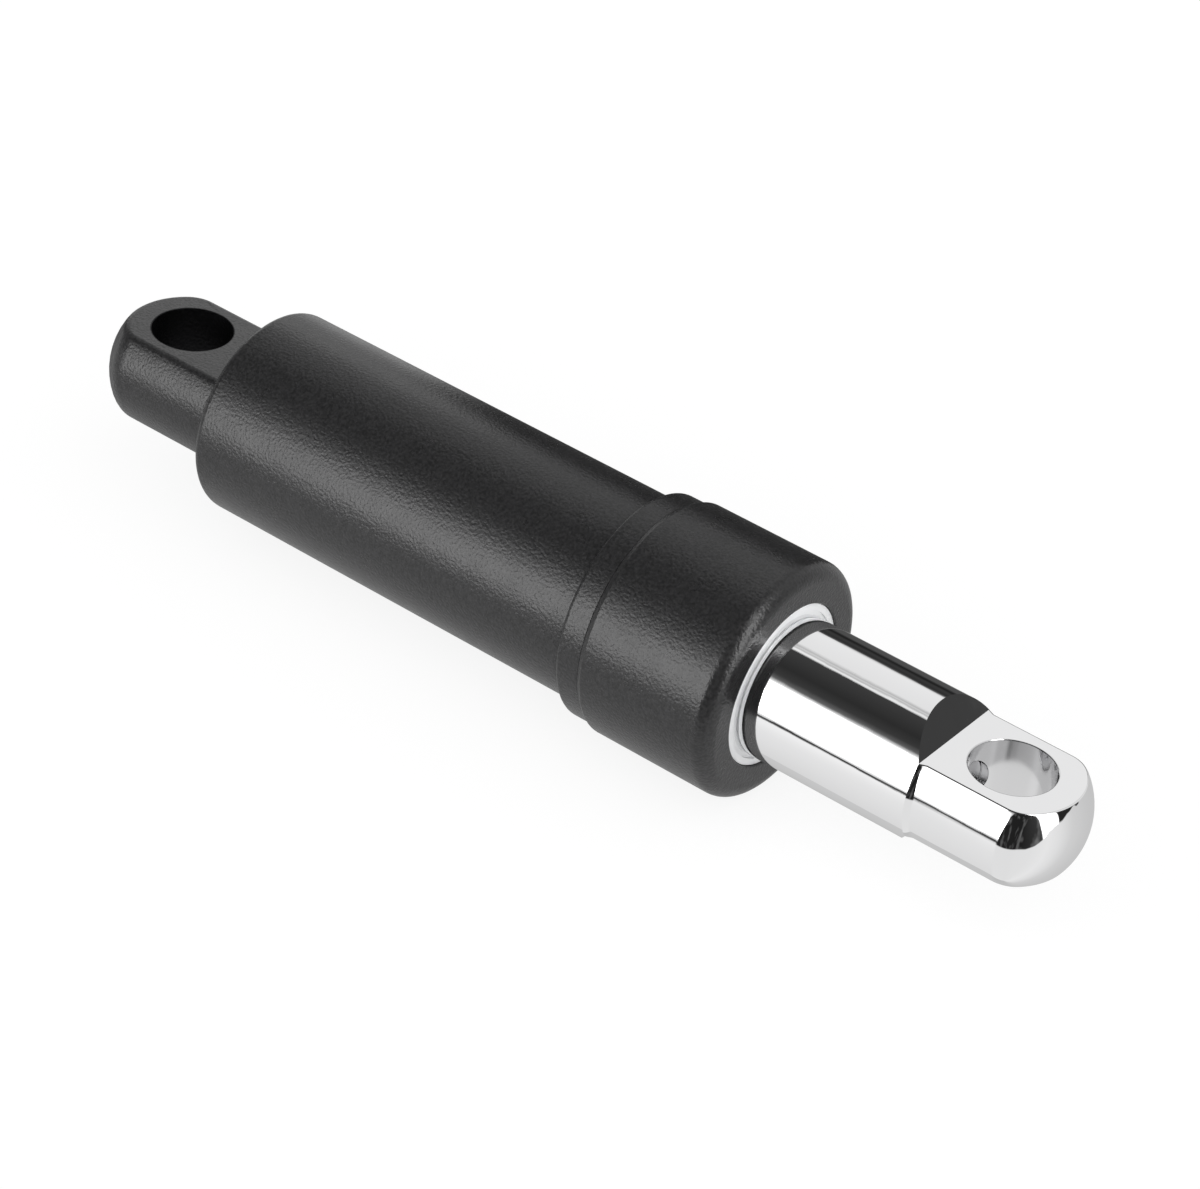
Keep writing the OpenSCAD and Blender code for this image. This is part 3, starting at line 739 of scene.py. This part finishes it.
def add_floor():
    clear_selection()
    bpy.ops.mesh.primitive_circle_add(vertices=96, radius=FLOOR["radius"] * MM, fill_type="NGON",
                                      location=(0, 0, FLOOR["z"] * MM))
    floor = bpy.context.object
    floor.name = "floor"
    material, add = bare_material("pale_floor")
    seen = add("ShaderNodeLightPath").outputs["Is Camera Ray"]
    grey = add("ShaderNodeMapRange", {"Value": seen, "To Min": FLOOR["grey"], "To Max": FLOOR["grey_seen"]})
    matt = add("ShaderNodeBsdfDiffuse", {"Color": grey.outputs["Result"]})
    glow = add("ShaderNodeEmission", {"Strength": calc(add, "MULTIPLY", seen, FLOOR["glow_seen"])})
    both = add("ShaderNodeAddShader", {0: matt.outputs[0], 1: glow.outputs[0]})
    add("ShaderNodeOutputMaterial", {"Surface": both.outputs[0]})
    floor.data.materials.append(material)
    floor.visible_glossy = False


# Light card: it stands at y and spans x0 to x1 and z0 to z1. Its glow is full from x0 to x_full and from
# z_low to z_high, and fades out beyond them.
CARD = dict(x0=-130.0, x1=16.0, x_full=-2.0, y=55.0, z0=-14.0, z_low=-4.0, z_high=50.0, z1=85.0, glow=0.75)


def add_card():
    """A light card behind the barrel's base end. It adds its light to what lies behind it, and shows only in
    gloss and polish."""
    c = CARD
    middle = ((c["x0"] + c["x1"]) / 2 * MM, c["y"] * MM, (c["z0"] + c["z1"]) / 2 * MM)
    clear_selection()
    bpy.ops.mesh.primitive_plane_add(size=1, rotation=(math.pi / 2, 0, 0), location=middle)
    card = bpy.context.object
    card.name = "light_card"
    card.scale = ((c["x1"] - c["x0"]) * MM, (c["z1"] - c["z0"]) * MM, 1)
    apply_place(card)
    material, add = bare_material("card_light")
    at = add("ShaderNodeSeparateXYZ", {0: add("ShaderNodeTexCoord").outputs["Object"]})
    side = rescale(add, at.outputs["X"], c["x1"] * MM, c["x_full"] * MM, 0.0, c["glow"], soft=True)
    top = rescale(add, at.outputs["Z"], c["z1"] * MM, c["z_high"] * MM, soft=True)
    bottom = rescale(add, at.outputs["Z"], c["z0"] * MM, c["z_low"] * MM, soft=True)
    strength = calc(add, "MULTIPLY", side, calc(add, "MULTIPLY", top, bottom))
    glow = add("ShaderNodeEmission", {"Strength": strength})
    clear = add("ShaderNodeBsdfTransparent")
    both = add("ShaderNodeAddShader", {0: clear.outputs[0], 1: glow.outputs[0]})
    add("ShaderNodeOutputMaterial", {"Surface": both.outputs[0]})
    card.data.materials.append(material)
    card.visible_camera = False
    card.visible_diffuse = False
    card.visible_shadow = False


# What the polished rod mirrors, which is the studio over and under the shock: degrees round X from the far
# side over the top, and how bright the wall, the soft box or the table is there
STUDIO = [
    (0, 0.06), (7, 0.012), (15, 0.045), (24, 0.03), (28.2, 0.1), (30.5, 0.8), (34, 0.91), (70, 0.86),
    (75, 0.5), (77, 0.75), (79, 0.5), (82, 0.97), (84, 0.85), (85.6, 0.05), (116, 0.028), (130, 0.045),
    (137, 0.13), (141, 0.8), (143, 1.6), (155, 1.7), (158, 5.7), (189.5, 5.7), (192.5, 2.4), (195, 0.95),
    (197, 0.8), (197.8, 0.04), (200.2, 0.04), (202, 0.99), (222, 0.9), (290, 0.62), (322, 0.42), (338, 0.08)]
# What the rod eye's nose mirrors, which is the studio in front of it, by degrees from +X towards +Y: first
# the equipment and the bright gap above the table, then the table
FRONT = [
    (-180, 0.02), (-45, 0.015), (-22, 0.04), (-18, 0.08), (-15, 6.0), (9, 6.0), (12, 0.02), (36, 0.02),
    (50, 0.06), (58, 0.5), (70, 0.6), (180, 0.6)]
TABLE = [
    (-180, 0.84), (-60, 0.83), (-22, 0.85), (-2, 0.9), (14, 0.83), (34, 0.7), (60, 0.64), (100, 0.58),
    (180, 0.56)]
# The table's far edge as the nose mirrors it: sideways and upright share of the direction
TABLE_EDGE = [
    (-1.0, -0.38), (-0.45, -0.38), (-0.3, -0.32), (-0.17, -0.21), (-0.05, -0.06), (0.1, 0.01), (0.3, 0.02),
    (0.5, 0.085), (0.59, 0.17), (0.64, 0.18), (0.685, 0.05), (0.75, 0.05), (0.775, 0.16), (1.0, 0.16)]

# The rest of the mirrored studio, in shares of the direction x, y and z, where a pair of values is the two
# ends of a change. NOSE_SIDE is the border where what lies round the shock gives way to what lies in front of
# its nose.
RIPPLE = dict(fine=(220, 14, 14), degrees=0.9)
PAST_BASE = dict(x=(-0.55, -0.72), wall=0.25, table=0.7, table_z=(0.05, -0.05), table_y=(0.4, 0.1))
PAST_NOSE = dict(x=(-0.2, 0.1), z=(0.0, 0.3), wall=0.45)
LEAN = dict(z=(-0.2, 0.7), degrees=(-8.5, 4.0), y=(0.04, -0.04))
STREAKS = dict(tall=(5, 5, 2.0), noise=(0.5, 0.7), glow=0.13)
FAR_LAMP = dict(slant=0.013, z=(0.75, 0.81), glow=0.8)
EDGE_BLUR = 0.015
DEGREES = math.degrees(1)     # in one radian
NOSE_SIDE = dict(lowest_z=-0.15, slant=0.38, z=(-0.2, -0.6), start=(-0.205, -0.45), end=-0.175)
# How much stronger the soft light gets for each share of the direction
SOFT_LIGHT = dict(x=0.4, y=-0.78, z=-0.16)


def mirrored_round_shock(add, way, x, y, z):
    """What the barrel, the rings and the rod mirror."""
    fine_way = vector_calc(add, "MULTIPLY", way, RIPPLE["fine"])
    ripple = add("ShaderNodeTexNoise", {"Vector": fine_way, "Scale": 1.0, "Detail": 3.0}).outputs["Fac"]
    turn = calc(add, "MULTIPLY", calc(add, "ARCTAN2", z, y), DEGREES)
    turn = calc(add, "ADD", turn, span(add, ripple, -RIPPLE["degrees"], RIPPLE["degrees"]))
    around = look_up(add, calc(add, "WRAP", turn, 360.0, 0.0), STUDIO)
    # the overhead light and the soft box are only as long as the shock
    b = PAST_BASE
    near_table = calc(add, "MULTIPLY", rescale(add, z, *b["table_z"], soft=True),
                      rescale(add, y, *b["table_y"], soft=True))
    behind = pick_between(add, near_table, calc(add, "MINIMUM", around, b["wall"]), b["table"])
    around = pick_between(add, rescale(add, x, *b["x"], soft=True), around, behind)
    n = PAST_NOSE
    past_nose = calc(add, "MULTIPLY", rescale(add, x, *n["x"], soft=True),
                     rescale(add, z, *n["z"], soft=True))
    return pick_between(add, past_nose, around, calc(add, "MINIMUM", around, n["wall"]))


def mirrored_by_nose(add, way, x, y, z):
    """What the rod eye's nose mirrors: the equipment leans a little, and has upright streaks."""
    lean = calc(add, "MULTIPLY", rescale(add, z, *LEAN["z"], *LEAN["degrees"]), rescale(add, y, *LEAN["y"]))
    azimuth = calc(add, "MULTIPLY", calc(add, "ARCTAN2", y, x), DEGREES)
    equipment = look_up(add, calc(add, "ADD", azimuth, lean), FRONT)
    tall_way = vector_calc(add, "MULTIPLY", way, STREAKS["tall"])
    streaks = add("ShaderNodeTexNoise", {"Vector": tall_way, "Scale": 1.0, "Detail": 2.0}).outputs["Fac"]
    streaks = rescale(add, streaks, *STREAKS["noise"], 0.0, STREAKS["glow"])
    equipment = calc(add, "ADD", equipment, streaks)
    far_lamp = rescale(add, calc(add, "MULTIPLY_ADD", azimuth, FAR_LAMP["slant"], z), *FAR_LAMP["z"])
    equipment = pick_between(add, far_lamp, equipment, FAR_LAMP["glow"])
    over_edge = calc(add, "SUBTRACT", z, look_up(add, y, TABLE_EDGE))
    over_edge = rescale(add, over_edge, -EDGE_BLUR, EDGE_BLUR)
    return pick_between(add, over_edge, look_up(add, azimuth, TABLE), equipment)


def add_world():
    world = bpy.data.worlds.new("studio")
    bpy.context.scene.world = world
    world.use_nodes = True
    world.cycles.sampling_method = "NONE"
    tree = world.node_tree
    tree.nodes.clear()
    add = node_adder(tree)
    way = add("ShaderNodeTexCoord").outputs["Generated"]
    x, y, z = add("ShaderNodeSeparateXYZ", {0: way}).outputs
    around = mirrored_round_shock(add, way, x, y, z)
    in_front = mirrored_by_nose(add, way, x, y, z)
    n = NOSE_SIDE
    border = calc(add, "MULTIPLY", calc(add, "MAXIMUM", z, n["lowest_z"]), n["slant"])
    past_border = calc(add, "SUBTRACT", x, border)
    nose_side = rescale(add, past_border, rescale(add, z, *n["z"], *n["start"]), n["end"])
    mirrored = pick_between(add, nose_side, around, in_front)

    # only gloss and polish see this studio. All other light is soft and white, a little stronger from the
    # soft box's side, and the camera sees plain white.
    path = add("ShaderNodeLightPath").outputs
    light = calc(add, "MULTIPLY_ADD", x, SOFT_LIGHT["x"], 1.0)
    light = calc(add, "MULTIPLY_ADD", y, SOFT_LIGHT["y"], light)
    light = calc(add, "MULTIPLY_ADD", z, SOFT_LIGHT["z"], light)
    plain = pick_between(add, path["Is Camera Ray"], light, 1.0)
    strength = pick_between(add, path["Is Glossy Ray"], plain, mirrored)
    background = add("ShaderNodeBackground", {"Color": (1, 1, 1, 1), "Strength": strength})
    add("ShaderNodeOutputWorld", {"Surface": background.outputs[0]})


add_floor()
add_card()
add_world()
bpy.context.scene.view_settings.view_transform = "Standard"
